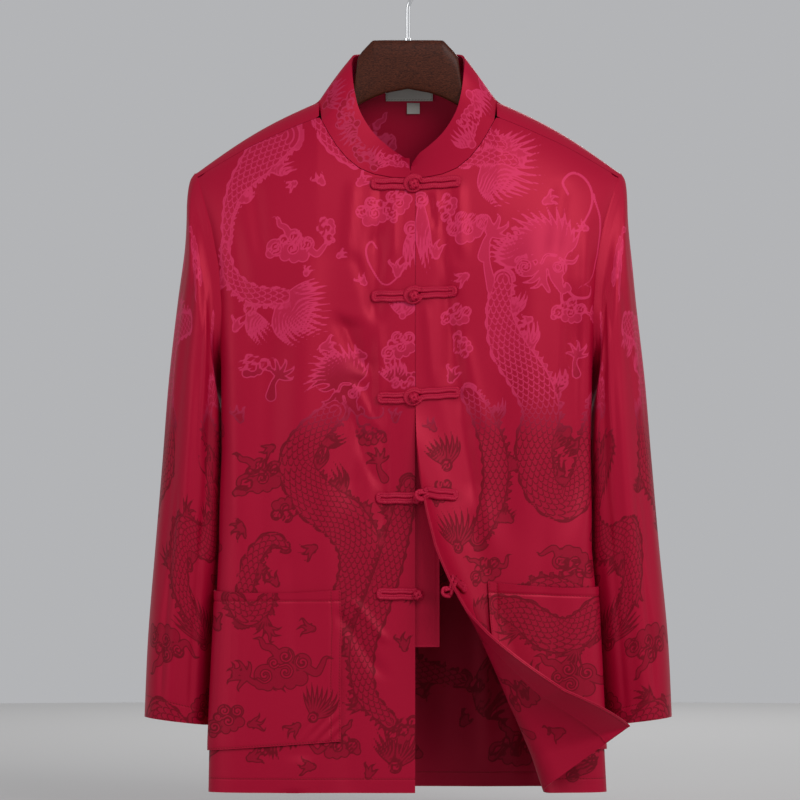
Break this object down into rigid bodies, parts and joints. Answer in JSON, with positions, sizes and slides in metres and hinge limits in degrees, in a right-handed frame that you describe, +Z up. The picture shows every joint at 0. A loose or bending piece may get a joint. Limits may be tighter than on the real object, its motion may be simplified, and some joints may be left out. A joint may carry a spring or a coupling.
{
  "type": "tang shirt on a wood hanger",
  "caption": "Long-sleeved satin tang shirt with a stand collar, knotted frog fastenings and patch pockets, hung on a wood hanger, one front's lower corner turned back.",
  "frame": {"origin": "top of the inner curve of the hanger's hook, where a rail carries it", "axes": "+Z up, -Y towards the shirt's front, +X towards the wearer's left sleeve"},
  "size_m": [0.5839, 0.2551, 0.9232],
  "materials": {
    "satin": "satin jacquard",
    "cord": "satin cord",
    "label": "plain woven tape",
    "wood": "dark varnished",
    "hook": "polished"
  },
  "bodies": {
    "root": {"back": "satin", "front_right": "satin", "front_left": "satin", "front_left_facing": "satin", "underlap": "satin", "sleeve_right": "satin", "sleeve_left": "satin", "collar": "satin", "pocket_right": "satin", "pocket_left": "satin", "frog_knot_1": "cord", "frog_knot_2": "cord", "frog_knot_3": "cord", "frog_knot_4": "cord", "frog_knot_5": "cord", "frog_ball_1": "cord", "frog_ball_2": "cord", "frog_ball_3": "cord", "frog_ball_4": "cord", "frog_ball_5": "cord", "frog_loop_1": "cord", "frog_loop_2": "cord", "frog_loop_3": "cord", "frog_loop_4": "cord", "frog_loop_5": "cord", "label_neck": "label", "label_size": "label", "hanger_wood": "wood", "hanger_hook": "hook"}
  },
  "joints": []
}
